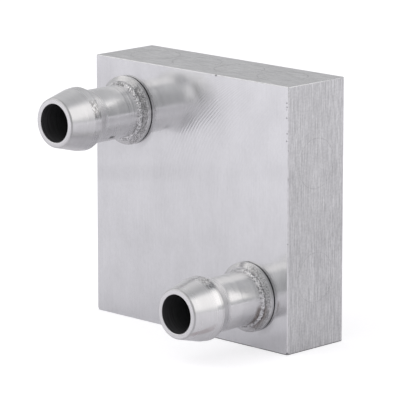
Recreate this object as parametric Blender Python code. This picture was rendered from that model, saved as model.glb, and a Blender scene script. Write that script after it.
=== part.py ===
"""CPU water block: a drilled aluminium slab with two turned hose nozzles, braze rings and flush plugs.

Run it with blender --background --python part.py, or from Blender's text editor. Lengths are metres, +Z is up.
The origin is the centre of the contact face, the flat back that lies on the processor. The nozzles point
along -Y, and the block stands on its lower narrow side.
"""

import math

import bmesh
import bpy
from mathutils import Vector

MM = 0.001

# Body: a slab of milled bar with its sharp edges broken.
BLOCK_WIDTH = 40.0 * MM
BLOCK_HEIGHT = 40.0 * MM
BLOCK_THICKNESS = 12.0 * MM
EDGE_BREAK = 0.2 * MM

# Water galleries: upright ones are drilled from the top face, cross ones from the right face.
# The metal that their seats leave is shared out: a side wall gets this many times the web between two seats.
GALLERY_COUNT = 4
GALLERY_DIAMETER = 6.4 * MM
SIDE_WALL_PER_WEB = 2.5
GALLERY_END_WALL = 4.6 * MM
CROSS_GALLERY_STEP = 0.4 * MM
CROSS_GALLERY_END_WALL = 4.6 * MM
LOWER_CROSS_FROM_BOTTOM = 10.8 * MM
UPPER_CROSS_FROM_TOP = 12.1 * MM
DRILL_POINT_ANGLE = math.radians(118)

# Plugs: one pressed into each gallery mouth and skimmed flush with the face.
PLUG_SHOULDER = 0.55 * MM
PLUG_LENGTH = 3.0 * MM
PLUG_LEAD = 0.3 * MM
PLUG_EDGE_BREAK = 0.08 * MM
FIT_CLEARANCE = 0.05 * MM

# Ports: the inlet is on the first gallery's line, the outlet is drilled a little inboard of the last one's.
INLET_FROM_TOP = 7.7 * MM
OUTLET_FROM_BOTTOM = 7.6 * MM
OUTLET_INBOARD = 1.0 * MM
PORT_REACH_PAST_WALL = 0.6 * MM
PORT_DEPTH_PAST_AXIS = 0.5 * MM

# Hose nozzle, from the inside out. Heights are measured from the block's front face.
NOZZLE_BORE = 5.86 * MM
NOZZLE_REACH = 15.25 * MM
SHANK_WALL = 0.77 * MM
SHANK_LEAD = 0.3 * MM
TUBE_WALL = 1.12 * MM
TIP_WALL = 0.77 * MM
TIP_ROUNDING = 0.28 * MM
MOUTH_CHAMFER = 0.15 * MM
BARB_RISE = 0.93 * MM
BARB_TAPER_LENGTH = 5.1 * MM
BARB_RAMP_LENGTH = 1.93 * MM
BARB_CREST_ROUNDING = 2.9 * MM
BARB_ROOT_FILLET = 2.5 * MM

# Collar: it stops the nozzle just off the face, which leaves the dark line under it.
COLLAR_GAP = 0.2 * MM
COLLAR_OVERHANG = 1.21 * MM
COLLAR_RIM_HEIGHT = 0.4 * MM
COLLAR_CHAMFER_WIDTH = 0.66 * MM
COLLAR_CHAMFER_HEIGHT = 0.6 * MM
COLLAR_EDGE_ROUNDING = 0.08 * MM

# Braze ring: a crust of filler in the corner between the tube and the collar's front.
BRAZE_WIDTH = 0.34 * MM
BRAZE_HEIGHT = 0.42 * MM
BRAZE_SEAT_GAP = 0.03 * MM
CRUST_WAVES = ((3, 0.14), (7, 0.12), (11, 0.10), (17, 0.08))
INLET_CRUST_SHIFT = 0.6
OUTLET_CRUST_SHIFT = 2.3

# Roundness of the meshes.
HOLE_SIDES = 32
NOZZLE_SIDES = 48
CRUST_SIDES = 64
ARC_STEPS = 5
CUTTER_OVERSHOOT = 1.0 * MM
MERGE_DISTANCE = 0.001 * MM
SHARP_ANGLE = math.radians(30)

# Sizes and places that follow from the ones above.
CROSS_GALLERY_DIAMETER = GALLERY_DIAMETER - CROSS_GALLERY_STEP
PLUG_RADIUS = GALLERY_DIAMETER / 2 + PLUG_SHOULDER
PLUG_SEAT_RADIUS = PLUG_RADIUS + FIT_CLEARANCE
PLUG_SEAT_DEPTH = PLUG_LENGTH + FIT_CLEARANCE
BORE_RADIUS = NOZZLE_BORE / 2
SHANK_RADIUS = BORE_RADIUS + SHANK_WALL
TUBE_RADIUS = BORE_RADIUS + TUBE_WALL
TIP_RADIUS = BORE_RADIUS + TIP_WALL
CREST_RADIUS = TUBE_RADIUS + BARB_RISE
COLLAR_RADIUS = TUBE_RADIUS + COLLAR_OVERHANG
COLLAR_FRONT = COLLAR_GAP + COLLAR_RIM_HEIGHT + COLLAR_CHAMFER_HEIGHT
PORT_SEAT_DEPTH = (BLOCK_THICKNESS - GALLERY_DIAMETER) / 2 + PORT_REACH_PAST_WALL
METAL_LEFT = BLOCK_WIDTH - GALLERY_COUNT * 2 * PLUG_SEAT_RADIUS
GALLERY_WEB = METAL_LEFT / (GALLERY_COUNT - 1 + 2 * SIDE_WALL_PER_WEB)
GALLERY_PITCH = 2 * PLUG_SEAT_RADIUS + GALLERY_WEB

FRONT_Y = -BLOCK_THICKNESS
MIDDLE_Y = -BLOCK_THICKNESS / 2
TOP_Z = BLOCK_HEIGHT / 2
BOTTOM_Z = -BLOCK_HEIGHT / 2
RIGHT_X = BLOCK_WIDTH / 2
LEFT_X = -BLOCK_WIDTH / 2
FIRST_GALLERY_X = LEFT_X + SIDE_WALL_PER_WEB * GALLERY_WEB + PLUG_SEAT_RADIUS
LAST_GALLERY_X = FIRST_GALLERY_X + (GALLERY_COUNT - 1) * GALLERY_PITCH
INLET_PLACE = Vector((FIRST_GALLERY_X, FRONT_Y, TOP_Z - INLET_FROM_TOP))
OUTLET_PLACE = Vector((LAST_GALLERY_X - OUTLET_INBOARD, FRONT_Y, BOTTOM_Z + OUTLET_FROM_BOTTOM))
GALLERY_MOUTHS = [
    Vector((FIRST_GALLERY_X + number * GALLERY_PITCH, MIDDLE_Y, TOP_Z)) for number in range(GALLERY_COUNT)
]
CROSS_GALLERY_MOUTHS = [
    Vector((RIGHT_X, MIDDLE_Y, TOP_Z - UPPER_CROSS_FROM_TOP)),
    Vector((RIGHT_X, MIDDLE_Y, BOTTOM_Z + LOWER_CROSS_FROM_BOTTOM)),
]

# Turns a piece made along +Z so that it points out of the face named.
OUT_OF_TOP = (0.0, 0.0, 0.0)
OUT_OF_RIGHT = (0.0, math.pi / 2, 0.0)
OUT_OF_FRONT = (math.pi / 2, 0.0, 0.0)


def clear_scene():
    for obj in list(bpy.data.objects):
        bpy.data.objects.remove(obj)


def metal(name, colour, roughness):
    material = bpy.data.materials.new(name)
    material.use_nodes = True
    shader = material.node_tree.nodes["Principled BSDF"]
    shader.inputs["Base Color"].default_value = (*colour, 1.0)
    shader.inputs["Metallic"].default_value = 1.0
    shader.inputs["Roughness"].default_value = roughness
    return material


def add_object(name, mesh, place, turn, material, parent):
    obj = bpy.data.objects.new(name, mesh)
    obj.location = place
    obj.rotation_euler = turn
    obj.parent = parent
    if material:
        mesh.materials.append(material)
    bpy.context.scene.collection.objects.link(obj)
    return obj


def rounded_outline(corners):
    """Takes a closed outline's corners as (radius, height, rounding) and puts an arc in each rounded one.

    An arc that would not fit on its two sides is limited to just under half of the shorter one.
    """
    points = []
    for index, (radius, height, rounding) in enumerate(corners):
        corner = Vector((radius, height))
        if not rounding:
            points.append(corner)
            continue
        to_last = Vector(corners[index - 1][:2]) - corner
        to_next = Vector(corners[(index + 1) % len(corners)][:2]) - corner
        half_opening = to_last.angle(to_next) / 2
        shorter_side = min(to_last.length, to_next.length)
        reach = min(rounding / math.tan(half_opening), 0.49 * shorter_side)
        to_last.normalize()
        to_next.normalize()
        centre = corner + (to_last + to_next).normalized() * reach / math.cos(half_opening)
        first = corner + to_last * reach - centre
        last = corner + to_next * reach - centre
        start = math.atan2(first.y, first.x)
        sweep = math.remainder(math.atan2(last.y, last.x) - start, math.tau)
        for step in range(ARC_STEPS + 1):
            angle = start + sweep * step / ARC_STEPS
            points.append(centre + first.length * Vector((math.cos(angle), math.sin(angle))))
    return points


def spin_outline(outline, sides):
    """Spins a closed outline of (radius, height) points about Z into one closed body."""
    bm = bmesh.new()
    verts = [bm.verts.new((radius, 0.0, height)) for radius, height in outline]
    edges = []
    for last, here in zip(verts[-1:] + verts[:-1], verts):
        if last.co.x > 0 or here.co.x > 0:
            edges.append(bm.edges.new((last, here)))
    bmesh.ops.spin(
        bm, geom=verts + edges, cent=(0, 0, 0), axis=(0, 0, 1), dvec=(0, 0, 0), angle=math.tau, steps=sides
    )
    bmesh.ops.remove_doubles(bm, verts=bm.verts, dist=MERGE_DISTANCE)
    bmesh.ops.recalc_face_normals(bm, faces=bm.faces)
    return bm


def finish_mesh(bm, name):
    mesh = bpy.data.meshes.new(name)
    bm.to_mesh(mesh)
    bm.free()
    mesh.shade_smooth()
    mesh.set_sharp_from_angle(angle=SHARP_ANGLE)
    return mesh


def drilled_hole(name, seat_radius, seat_depth, bore_radius, bore_depth, point_depth, sides):
    """A stepped hole as a solid to cut with: a seat at the mouth, a bore behind it and the drill's point."""
    outline = [
        (0.0, CUTTER_OVERSHOOT),
        (seat_radius, CUTTER_OVERSHOOT),
        (seat_radius, -seat_depth),
        (bore_radius, -seat_depth),
        (bore_radius, -bore_depth),
        (0.0, -bore_depth - point_depth),
    ]
    return finish_mesh(spin_outline(outline, sides), name)


def gallery_hole(name, diameter, bar_length, end_wall):
    """A gallery across a bar of this length, with a plug seat at its mouth and metal left past the drill's point."""
    point_depth = diameter / 2 / math.tan(DRILL_POINT_ANGLE / 2)
    bore_depth = bar_length - end_wall - point_depth
    return drilled_hole(
        name, PLUG_SEAT_RADIUS, PLUG_SEAT_DEPTH, diameter / 2, bore_depth, point_depth, HOLE_SIDES
    )


def port_hole(name):
    """A port: the nozzle's shank seat through the front wall, and its bore on into the gallery."""
    seat_radius = SHANK_RADIUS + FIT_CLEARANCE
    bore_depth = BLOCK_THICKNESS / 2 + PORT_DEPTH_PAST_AXIS
    return drilled_hole(name, seat_radius, PORT_SEAT_DEPTH, BORE_RADIUS, bore_depth, 0.0, NOZZLE_SIDES)


def cut(target, cutter):
    cutter.hide_render = True
    cutter.display_type = "WIRE"
    modifier = target.modifiers.new(cutter.name, "BOOLEAN")
    modifier.operation = "DIFFERENCE"
    modifier.solver = "EXACT"
    modifier.object = cutter


def build_block_body(material, parent):
    bm = bmesh.new()
    bmesh.ops.create_cube(bm, size=1.0)
    bmesh.ops.scale(bm, vec=(BLOCK_WIDTH, BLOCK_THICKNESS, BLOCK_HEIGHT), verts=bm.verts)
    bmesh.ops.translate(bm, vec=(0, MIDDLE_Y, 0), verts=bm.verts)
    bmesh.ops.bevel(bm, geom=bm.edges[:], offset=EDGE_BREAK, segments=1, affect="EDGES")
    block = add_object("block_body", finish_mesh(bm, "block_body"), (0, 0, 0), (0, 0, 0), material, parent)

    upright = gallery_hole("gallery_hole", GALLERY_DIAMETER, BLOCK_HEIGHT, GALLERY_END_WALL)
    for number, mouth in enumerate(GALLERY_MOUTHS, start=1):
        cut(block, add_object(f"gallery_cutter_{number}", upright, mouth, OUT_OF_TOP, None, parent))
    cross = gallery_hole("cross_hole", CROSS_GALLERY_DIAMETER, BLOCK_WIDTH, CROSS_GALLERY_END_WALL)
    for number, mouth in enumerate(CROSS_GALLERY_MOUTHS, start=1):
        cut(block, add_object(f"cross_cutter_{number}", cross, mouth, OUT_OF_RIGHT, None, parent))
    port = port_hole("port_hole")
    cut(block, add_object("inlet_port_cutter", port, INLET_PLACE, OUT_OF_FRONT, None, parent))
    cut(block, add_object("outlet_port_cutter", port, OUTLET_PLACE, OUT_OF_FRONT, None, parent))
    return block


def nozzle_mesh():
    """The turned nozzle: shank, collar, tube and one hose barb, bored right through."""
    shank_end = FIT_CLEARANCE - PORT_SEAT_DEPTH
    barb_crest = NOZZLE_REACH - BARB_TAPER_LENGTH
    barb_root = barb_crest - BARB_RAMP_LENGTH
    collar_shoulder = COLLAR_GAP + COLLAR_RIM_HEIGHT
    corners = [
        (BORE_RADIUS, shank_end, 0),
        (BORE_RADIUS, NOZZLE_REACH - MOUTH_CHAMFER, 0),
        (BORE_RADIUS + MOUTH_CHAMFER, NOZZLE_REACH, 0),
        (TIP_RADIUS, NOZZLE_REACH, TIP_ROUNDING),
        (CREST_RADIUS, barb_crest, BARB_CREST_ROUNDING),
        (TUBE_RADIUS, barb_root, BARB_ROOT_FILLET),
        (TUBE_RADIUS, COLLAR_FRONT, 0),
        (COLLAR_RADIUS - COLLAR_CHAMFER_WIDTH, COLLAR_FRONT, 0),
        (COLLAR_RADIUS, collar_shoulder, COLLAR_EDGE_ROUNDING),
        (COLLAR_RADIUS, COLLAR_GAP, COLLAR_EDGE_ROUNDING),
        (SHANK_RADIUS, COLLAR_GAP, 0),
        (SHANK_RADIUS, shank_end + SHANK_LEAD, 0),
        (SHANK_RADIUS - SHANK_LEAD, shank_end, 0),
    ]
    return finish_mesh(spin_outline(rounded_outline(corners), NOZZLE_SIDES), "nozzle")


def crust_swell(angle, shift):
    """How far the crust stands out at this angle, as a factor about 1."""
    return 1 + sum(depth * math.sin(waves * (angle + shift)) for waves, depth in CRUST_WAVES)


def braze_mesh(name, shift):
    """The filler ring: a small fillet in the collar's corner that swells and thins around the tube."""
    corner_radius = TUBE_RADIUS + BRAZE_SEAT_GAP
    corner_height = COLLAR_FRONT + BRAZE_SEAT_GAP
    outline = [(corner_radius, corner_height)]
    for step in range(ARC_STEPS):
        angle = math.pi / 2 * step / (ARC_STEPS - 1)
        radius = corner_radius + BRAZE_WIDTH * math.cos(angle)
        height = corner_height + BRAZE_HEIGHT * math.sin(angle)
        outline.append((radius, height))
    bm = spin_outline(outline, CRUST_SIDES)
    for vert in bm.verts:
        angle = math.atan2(vert.co.y, vert.co.x)
        swell = crust_swell(angle, shift)
        radius = corner_radius + (math.hypot(vert.co.x, vert.co.y) - corner_radius) * swell
        height = corner_height + (vert.co.z - corner_height) * swell
        vert.co = (radius * math.cos(angle), radius * math.sin(angle), height)
    return finish_mesh(bm, name)


def plug_mesh():
    """A plug: a plain disc with a lead at its inner end and a broken edge at the face."""
    outline = [
        (0.0, -PLUG_LENGTH),
        (PLUG_RADIUS - PLUG_LEAD, -PLUG_LENGTH),
        (PLUG_RADIUS, PLUG_LEAD - PLUG_LENGTH),
        (PLUG_RADIUS, -PLUG_EDGE_BREAK),
        (PLUG_RADIUS - PLUG_EDGE_BREAK, 0.0),
        (0.0, 0.0),
    ]
    return finish_mesh(spin_outline(outline, HOLE_SIDES), "plug")


def build_nozzles(nozzle_material, braze_material, parent):
    nozzle = nozzle_mesh()
    nozzle.materials.append(nozzle_material)
    for port, place, shift in (
        ("inlet", INLET_PLACE, INLET_CRUST_SHIFT),
        ("outlet", OUTLET_PLACE, OUTLET_CRUST_SHIFT),
    ):
        add_object(f"{port}_nozzle", nozzle, place, OUT_OF_FRONT, None, parent)
        ring = braze_mesh(f"{port}_braze_ring", shift)
        add_object(f"{port}_braze_ring", ring, place, OUT_OF_FRONT, braze_material, parent)


def build_plugs(material, parent):
    plug = plug_mesh()
    plug.materials.append(material)
    for number, mouth in enumerate(GALLERY_MOUTHS, start=1):
        add_object(f"top_plug_{number}", plug, mouth, OUT_OF_TOP, None, parent)
    for number, mouth in enumerate(CROSS_GALLERY_MOUTHS, start=1):
        add_object(f"side_plug_{number}", plug, mouth, OUT_OF_RIGHT, None, parent)


def build_water_block():
    clear_scene()
    water_block = bpy.data.objects.new("water_block", None)
    bpy.context.scene.collection.objects.link(water_block)
    milled = metal("milled_aluminium", (0.66, 0.66, 0.68), 0.35)
    turned = metal("turned_aluminium", (0.70, 0.70, 0.71), 0.22)
    plugs = metal("plug_aluminium", (0.62, 0.62, 0.62), 0.40)
    filler = metal("braze_filler", (0.60, 0.60, 0.58), 0.45)
    build_block_body(milled, water_block)
    build_nozzles(turned, filler, water_block)
    build_plugs(plugs, water_block)


build_water_block()
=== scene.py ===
# %% [markdown]
# # A small water block for a processor
#
# The real object is a 40 mm square of aluminium bar, 12 mm thick. Water galleries are drilled through it and
# closed with round plugs, and two turned hose nozzles are brazed to its front. Almost all that the eye reads
# on it is bare metal: how each face was cut, how the light tent shows in the turned nozzles, and the rough
# filler where they were brazed. So the lesson spends its time on small machined shapes and metal finishes.

import math

import bmesh
import bpy
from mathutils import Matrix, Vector, noise


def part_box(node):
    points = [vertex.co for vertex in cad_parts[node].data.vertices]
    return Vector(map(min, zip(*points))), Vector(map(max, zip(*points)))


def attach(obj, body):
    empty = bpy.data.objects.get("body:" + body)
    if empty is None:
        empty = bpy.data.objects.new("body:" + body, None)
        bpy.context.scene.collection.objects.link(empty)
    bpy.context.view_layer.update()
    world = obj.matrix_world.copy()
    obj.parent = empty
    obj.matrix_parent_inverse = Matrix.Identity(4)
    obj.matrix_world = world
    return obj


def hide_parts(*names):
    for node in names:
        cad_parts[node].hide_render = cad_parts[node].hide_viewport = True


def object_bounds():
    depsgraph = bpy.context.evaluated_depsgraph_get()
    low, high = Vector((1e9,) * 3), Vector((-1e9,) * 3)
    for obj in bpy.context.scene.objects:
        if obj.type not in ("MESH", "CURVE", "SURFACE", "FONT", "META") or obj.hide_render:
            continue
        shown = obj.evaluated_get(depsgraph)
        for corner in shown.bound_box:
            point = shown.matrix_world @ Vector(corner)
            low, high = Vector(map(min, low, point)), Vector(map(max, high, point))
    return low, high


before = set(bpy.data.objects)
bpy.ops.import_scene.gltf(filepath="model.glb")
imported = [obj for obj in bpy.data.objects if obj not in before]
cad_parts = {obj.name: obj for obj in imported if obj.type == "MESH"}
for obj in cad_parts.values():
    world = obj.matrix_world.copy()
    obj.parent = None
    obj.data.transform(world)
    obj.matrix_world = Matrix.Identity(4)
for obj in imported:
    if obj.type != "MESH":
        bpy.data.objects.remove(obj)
cad_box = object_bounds()
MM = 0.001
BODY = "root"
print("CAD nodes:", sorted(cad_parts))

# %% [markdown]
# ## The camera
#
# The photograph was taken from the front right and a little above, from about half a metre. The camera is
# placed by its turn, its height above the horizon and its distance from a point in the block, because those
# are the numbers that a perspective fit gives. A long lens from that distance keeps the slight convergence.

# %% Camera
CAMERA_AIM = Vector((0.0, -9.84, 0.0)) * MM
CAMERA_TURN = math.radians(44.40)
CAMERA_HEIGHT = math.radians(12.19)
CAMERA_DISTANCE = 509.6 * MM
CAMERA_LENS = 306.17
CAMERA_NEAR = 0.02
CAMERA_FAR = 20.0


def direction(turn, height):
    """The unit vector at this turn from the front, towards +X, and this height above the horizon."""
    return Vector((
        math.sin(turn) * math.cos(height),
        -math.cos(turn) * math.cos(height),
        math.sin(height),
    ))


bpy.ops.object.camera_add(location=CAMERA_AIM + direction(CAMERA_TURN, CAMERA_HEIGHT) * CAMERA_DISTANCE)
camera = bpy.context.object
camera.rotation_euler = (CAMERA_AIM - camera.location).to_track_quat("-Z", "Y").to_euler()
camera.data.lens = CAMERA_LENS
camera.data.clip_start = CAMERA_NEAR
camera.data.clip_end = CAMERA_FAR
bpy.context.scene.camera = camera
bpy.context.scene.view_settings.view_transform = "Standard"
print("camera at", [round(value / MM, 1) for value in camera.location], "mm")

# %% [markdown]
# ## Light and background
#
# Bare metal has hardly any colour of its own: it shows what stands around it. The photograph was taken in a
# light tent, so the world is white, and what matters is where the tent is lit and where it is dim. Lit cloth
# at the right draws the bright band along each nozzle. Cloth at the back, overhead and around the camera is
# dimmer and gives the metal its greys. Lit cloth is a touch warm and dim cloth a touch cool. The panels are
# drawn on the world by direction, with soft edges, because a rectangular lamp would leave a hard rectangle in
# the turned metal. The camera itself sees plain white.

# %% World
WORLD_FILL = 0.85
PLAIN_WHITE = (1.0, 1.0, 1.0, 1.0)
WARM_WHITE = (1.0, 0.985, 0.978, 1.0)
COOL_WHITE = (0.985, 0.990, 1.010, 1.0)
COOL_BELOW = 0.6
WARM_ABOVE = 1.0

# Each panel: turn from the front and height, half width, half height, softness, all in degrees, and its
# brightness. A later panel is drawn over the earlier ones.
TENT_BRIGHTNESS = 0.74
TENT_PANELS = {
    "back left": (-155, 34, 35, 12, 22, 0.50),
    "overhead": (0, 90, 180, 22, 12, 0.44),
    "lit right wall": (122, 31, 24, 21, 7, 1.05),
    "lit high front": (-30, 44, 11, 16, 9, 0.94),
    "lit left wall": (-78, 46, 14, 12, 10, 1.15),
    "dim high front": (5, 50, 9, 12, 7, 0.51),
    "right of the camera": (70, 30, 19, 40, 8, 0.50),
    "left of the camera": (31, 22, 18, 24, 8, 0.46),
    "behind the camera": (43, 14, 10, 16, 8, 0.40),
    "lit low front": (-8, 20, 12, 11, 8, 1.0),
    "low right": (138, 2, 26, 5, 9, 0.52),
    "line at the horizon": (0, 1, 180, 0.6, 1.1, 0.48),
}


def put(tree, value, socket):
    """Sets a socket from a number or a colour, or links another socket to it."""
    if isinstance(value, bpy.types.NodeSocket):
        tree.links.new(value, socket)
    else:
        socket.default_value = value


def add_math(tree, operation, *values):
    """Adds a Math node and hands back its result."""
    node = tree.nodes.new("ShaderNodeMath")
    node.operation = operation
    for value, socket in zip(values, node.inputs):
        put(tree, value, socket)
    return node.outputs[0]


def new_range(tree, kind, *values):
    """Carries a value from one range to another: value, low, high, new low and new high."""
    node = tree.nodes.new("ShaderNodeMapRange")
    node.interpolation_type = kind
    for value, socket in zip(values, node.inputs):
        put(tree, value, socket)
    return node.outputs[0]


def soft_step(tree, value, start, end):
    """1 up to start, falling smoothly to 0 at end."""
    return new_range(tree, "SMOOTHSTEP", value, start, end, 1.0, 0.0)


def mix_colours(tree, amount, first, second):
    """The first colour where the amount is 0 and the second where it is 1."""
    node = tree.nodes.new("ShaderNodeMix")
    node.data_type = "RGBA"
    for value, number in ((amount, 0), (first, 6), (second, 7)):
        put(tree, value, node.inputs[number])
    return node.outputs[2]


def scaled(tree, vector, factor):
    """A vector or a colour, times a number."""
    node = tree.nodes.new("ShaderNodeVectorMath")
    node.operation = "SCALE"
    put(tree, vector, node.inputs[0])
    put(tree, factor, node.inputs["Scale"])
    return node.outputs[0]


def distance_from(tree, place, point):
    """How far a place lies from this point."""
    node = tree.nodes.new("ShaderNodeVectorMath")
    node.operation = "DISTANCE"
    put(tree, place, node.inputs[0])
    put(tree, point, node.inputs[1])
    return node.outputs["Value"]


def seen_directly(tree):
    """1 for rays from the camera, from a reflection and through glass, and 0 for the rest."""
    path = tree.nodes.new("ShaderNodeLightPath")
    shiny = add_math(tree, "MAXIMUM", path.outputs["Is Glossy Ray"], path.outputs["Is Transmission Ray"])
    return add_math(tree, "MAXIMUM", path.outputs["Is Camera Ray"], shiny)


world = bpy.data.worlds.new("light_tent")
world.use_nodes = True
bpy.context.scene.world = world
sky = world.node_tree
towards = sky.nodes.new("ShaderNodeSeparateXYZ")
put(sky, sky.nodes.new("ShaderNodeTexCoord").outputs["Generated"], towards.inputs[0])
forward = add_math(sky, "MULTIPLY", towards.outputs["Y"], -1.0)
turn = add_math(sky, "DEGREES", add_math(sky, "ARCTAN2", towards.outputs["X"], forward))
height = add_math(sky, "DEGREES", add_math(sky, "ARCSINE", towards.outputs["Z"]))
brightness = TENT_BRIGHTNESS
for panel_turn, panel_height, half_width, half_height, soft, panel_brightness in TENT_PANELS.values():
    aside = add_math(sky, "WRAP", add_math(sky, "SUBTRACT", turn, panel_turn), 180.0, -180.0)
    beside = soft_step(sky, add_math(sky, "ABSOLUTE", aside), half_width, half_width + soft)
    above = add_math(sky, "ABSOLUTE", add_math(sky, "SUBTRACT", height, panel_height))
    within = add_math(sky, "MULTIPLY", beside, soft_step(sky, above, half_height, half_height + soft))
    change = add_math(sky, "SUBTRACT", panel_brightness, brightness)
    brightness = add_math(sky, "MULTIPLY_ADD", within, change, brightness)
for_camera = sky.nodes.new("ShaderNodeLightPath").outputs["Is Camera Ray"]
warmth = add_math(sky, "SUBTRACT", 1.0, soft_step(sky, brightness, COOL_BELOW, WARM_ABOVE))
lit_colour = mix_colours(sky, warmth, COOL_WHITE, WARM_WHITE)
brightness = add_math(sky, "MAXIMUM", brightness, for_camera)

fill = sky.nodes["Background"]
fill.inputs["Color"].default_value = PLAIN_WHITE
fill.inputs["Strength"].default_value = WORLD_FILL
tent = sky.nodes.new("ShaderNodeBackground")
put(sky, mix_colours(sky, for_camera, lit_colour, PLAIN_WHITE), tent.inputs["Color"])
put(sky, brightness, tent.inputs["Strength"])
choose = sky.nodes.new("ShaderNodeMixShader")
put(sky, seen_directly(sky), choose.inputs["Fac"])
put(sky, fill.outputs[0], choose.inputs[1])
put(sky, tent.outputs[0], choose.inputs[2])
put(sky, choose.outputs[0], sky.nodes["World Output"].inputs["Surface"])
print(len(TENT_PANELS), "panels in the tent")

# %% [markdown]
# The floor is pale paper. It glows for the camera, so it reads as white. Metal sees it from close by, partly
# in the block's own shade, so in reflections its glow starts low at the block and grows with the distance.
# Three soft shades dim it where the front, the right side and the nozzles' undersides mirror it. They stand
# for the parts of the table that got less light. A soft lamp from the front left gives the faint shadow.

# %% Floor and lamp
FLOOR_COLOUR = (0.497, 0.489, 0.512, 1.0)
GLOW_COLOUR = (0.995, 0.978, 1.024, 1.0)
FLOOR_GLOW = 0.64
GLOW_BY_BLOCK = 0.20
GLOW_FAR_OFF = 0.38
BY_BLOCK = 25.0 * MM
FAR_OFF = 220.0 * MM

# Each shade: its middle on the floor, its inner and outer radius, and how much of the glow it takes.
SHADES = (
    ((-185.0 * MM, -110.0 * MM, 0.0), 50.0 * MM, 100.0 * MM, 0.50),
    ((170.0 * MM, -185.0 * MM, 0.0), 110.0 * MM, 200.0 * MM, 0.80),
    ((105.0 * MM, 85.0 * MM, 0.0), 50.0 * MM, 100.0 * MM, 0.35),
)
FLOOR_SIZE = 6.0
LAMP_TURN = math.radians(-40.0)
LAMP_HEIGHT = math.radians(50.0)
LAMP_DISTANCE = 1.0
LAMP_SIZE = 0.6
LAMP_WATTS_PER_SQUARE_METRE = 4.8

bpy.ops.mesh.primitive_plane_add(size=FLOOR_SIZE, location=(0.0, 0.0, cad_box[0].z))
floor = bpy.context.object
floor.name = "floor"
paper = bpy.data.materials.new("pale_paper")
paper.use_nodes = True
tree = paper.node_tree
tree.nodes.remove(tree.nodes["Principled BSDF"])
matt = tree.nodes.new("ShaderNodeBsdfDiffuse")
matt.inputs["Color"].default_value = FLOOR_COLOUR
glow = tree.nodes.new("ShaderNodeEmission")
on_floor = tree.nodes.new("ShaderNodeTexCoord").outputs["Object"]
off_middle = distance_from(tree, on_floor, (0.0, 0.0, 0.0))
nearness = new_range(tree, "LINEAR", off_middle, BY_BLOCK, FAR_OFF, GLOW_BY_BLOCK, GLOW_FAR_OFF)
unshaded = 1.0
for shade_place, inner_radius, outer_radius, shade_depth in SHADES:
    shade = soft_step(tree, distance_from(tree, on_floor, shade_place), inner_radius, outer_radius)
    unshaded = add_math(tree, "MULTIPLY_ADD", shade, -shade_depth, unshaded)
in_metal = tree.nodes.new("ShaderNodeLightPath").outputs["Is Glossy Ray"]
shaded_glow = add_math(tree, "MULTIPLY", nearness, unshaded)
in_reflections = add_math(tree, "MULTIPLY", in_metal, shaded_glow)
not_in_metal = add_math(tree, "SUBTRACT", seen_directly(tree), in_metal)
for_camera = add_math(tree, "MULTIPLY", not_in_metal, FLOOR_GLOW)
glow_strength = add_math(tree, "ADD", in_reflections, for_camera)
put(tree, glow_strength, glow.inputs["Strength"])
put(tree, mix_colours(tree, in_metal, PLAIN_WHITE, GLOW_COLOUR), glow.inputs["Color"])
both = tree.nodes.new("ShaderNodeAddShader")
put(tree, matt.outputs[0], both.inputs[0])
put(tree, glow.outputs[0], both.inputs[1])
put(tree, both.outputs[0], tree.nodes["Material Output"].inputs["Surface"])
floor.data.materials.append(paper)

outwards = direction(LAMP_TURN, LAMP_HEIGHT)
turned_in = (-outwards).to_track_quat("-Z", "Y").to_euler()
bpy.ops.object.light_add(type="AREA", location=outwards * LAMP_DISTANCE, rotation=turned_in)
lamp = bpy.context.object
lamp.name = "soft_lamp"
lamp.data.size = LAMP_SIZE
lamp.data.energy = LAMP_SIZE**2 * LAMP_WATTS_PER_SQUARE_METRE
lamp.visible_camera = False
lamp.visible_glossy = False

# %% [markdown]
# ## How a metal finish is made
#
# Every finish here is a Principled shader set to metal. What tells a milled face from a brushed or a turned
# one is the pattern of its marks, in roughness, in tone and in relief. The patterns are procedural and read
# Object coordinates, scaled to millimetres, so a mark of 0.5 mm is written as 0.5. A small helper keeps each
# finish short to read: each method adds the nodes for one step, and those that work out a value hand back the
# socket to go on with.

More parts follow.
